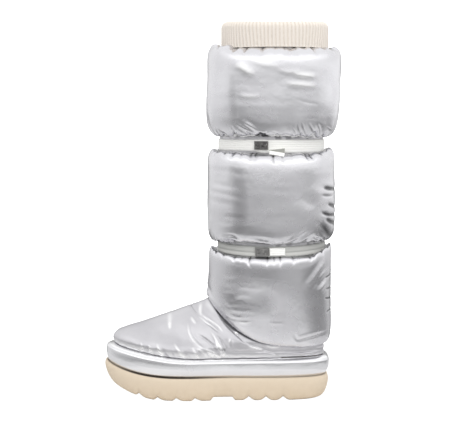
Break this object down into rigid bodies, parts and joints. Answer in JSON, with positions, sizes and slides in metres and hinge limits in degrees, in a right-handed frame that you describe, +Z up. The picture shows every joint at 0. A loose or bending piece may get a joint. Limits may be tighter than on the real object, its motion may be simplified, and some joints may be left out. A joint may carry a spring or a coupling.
{
  "type": "tall boot",
  "caption": "Tall padded winter boot for a left foot: stuffed silver rings round a hollow shaft, rib-knit cuff, webbing straps with clamp buckles, wrapped platform and lugged foam outsole.",
  "frame": {"origin": "middle of the bounding box in plan, on the floor under the sole", "axes": "+Z up the shaft, toe towards -Y, outer side with the buckles towards +X"},
  "size_m": [0.141, 0.2854, 0.4467],
  "materials": {
    "foam_outsole": "matte cream foam",
    "foil_cloth_wrap": "silver foil-coated cloth, smooth",
    "insole_board": "brushed cream cloth",
    "foil_cloth_upper": "silver foil-coated cloth",
    "foil_cloth_puff": "silver foil-coated cloth, stuffed and gathered",
    "webbing": "ribbed cream webbing",
    "pewter": "dark pewter with a ribbed window",
    "rib_knit": "cream rib knit"
  },
  "bodies": {
    "root": {"outsole": "foam_outsole", "midsole": "foil_cloth_wrap", "insole": "insole_board", "upper": "foil_cloth_upper", "puff_ankle": "foil_cloth_puff", "puff_calf": "foil_cloth_puff", "puff_top": "foil_cloth_puff", "strap_lower": "webbing", "strap_upper": "webbing", "strap_end_lower": "webbing", "strap_end_upper": "webbing", "buckle_lower": "pewter", "buckle_upper": "pewter", "cuff": "rib_knit"}
  },
  "joints": []
}
